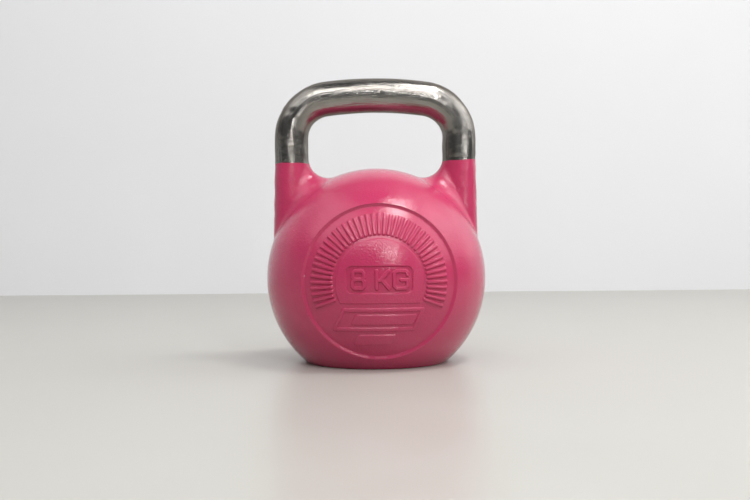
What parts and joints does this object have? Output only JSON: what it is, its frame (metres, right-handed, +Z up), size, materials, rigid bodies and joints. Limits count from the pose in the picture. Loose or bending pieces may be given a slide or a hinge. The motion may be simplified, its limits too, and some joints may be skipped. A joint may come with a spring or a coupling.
{
  "type": "kettlebell",
  "caption": "Competition kettlebell: hollow painted steel ball with a flat foot, two horns and a wide bare steel handle to grip.",
  "frame": {"origin": "centre of the foot, on the plane that the kettlebell stands on", "axes": "+Z up through the ball's centre, X along the handle, -Y out of the front medallion"},
  "size_m": [0.213, 0.2104, 0.276],
  "materials": {
    "enamel": "gloss",
    "ground_steel": "satin",
    "weld_metal": "satin",
    "turned_steel": "satin",
    "rubber": "matte",
    "shot_in_resin": "matte"
  },
  "bodies": {
    "root": {"ball_shell": "enamel", "handle": "ground_steel", "left_handle_weld": "weld_metal", "right_handle_weld": "weld_metal", "left_handle_spigot": "turned_steel", "right_handle_spigot": "turned_steel", "core_plug": "turned_steel", "plug_washer": "rubber", "trim_ballast": "shot_in_resin"}
  },
  "joints": []
}
